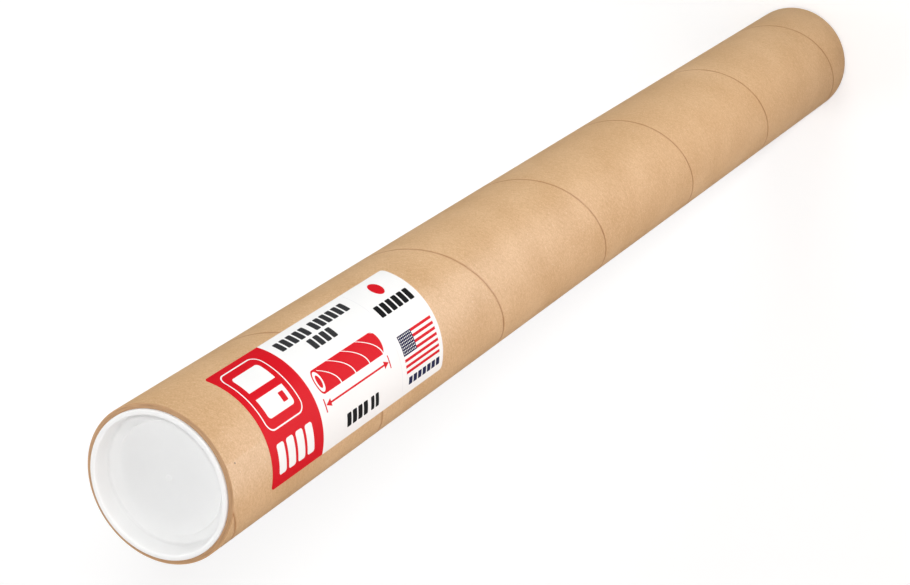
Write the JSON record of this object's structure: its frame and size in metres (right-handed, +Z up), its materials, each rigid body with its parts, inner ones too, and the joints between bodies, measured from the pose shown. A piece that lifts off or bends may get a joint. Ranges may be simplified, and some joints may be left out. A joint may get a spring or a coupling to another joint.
{
  "type": "mailing tube",
  "caption": "Spiral-wound kraft mailing tube standing on end, with a white plastic cap plugged into each end and a paper label with a plain print near its top.",
  "frame": {"origin": "on the floor line under the tube, on the tube's axis", "axes": "+Z up the tube from its bottom cap to its top cap, -Y the side that the label faces"},
  "size_m": [0.0844, 0.0845, 0.9184],
  "materials": {
    "kraft_board": "matt kraft liner with fine fibres",
    "white_plastic": "soft satin, slightly translucent",
    "label_paper": "smooth semi-gloss paper"
  },
  "bodies": {
    "bottom_cap": {"bottom_cap": "white_plastic"},
    "tube": {"tube": "kraft_board", "label": "label_paper"},
    "top_cap": {"top_cap": "white_plastic"}
  },
  "joints": [
    {"name": "tube_lift", "type": "slide", "parent": "bottom_cap", "child": "tube", "axis": [0, 0, 1], "range_m": [0, 0.04]},
    {"name": "top_cap_pull", "type": "slide", "parent": "tube", "child": "top_cap", "axis": [0, 0, 1], "range_m": [0, 0.04]}
  ]
}
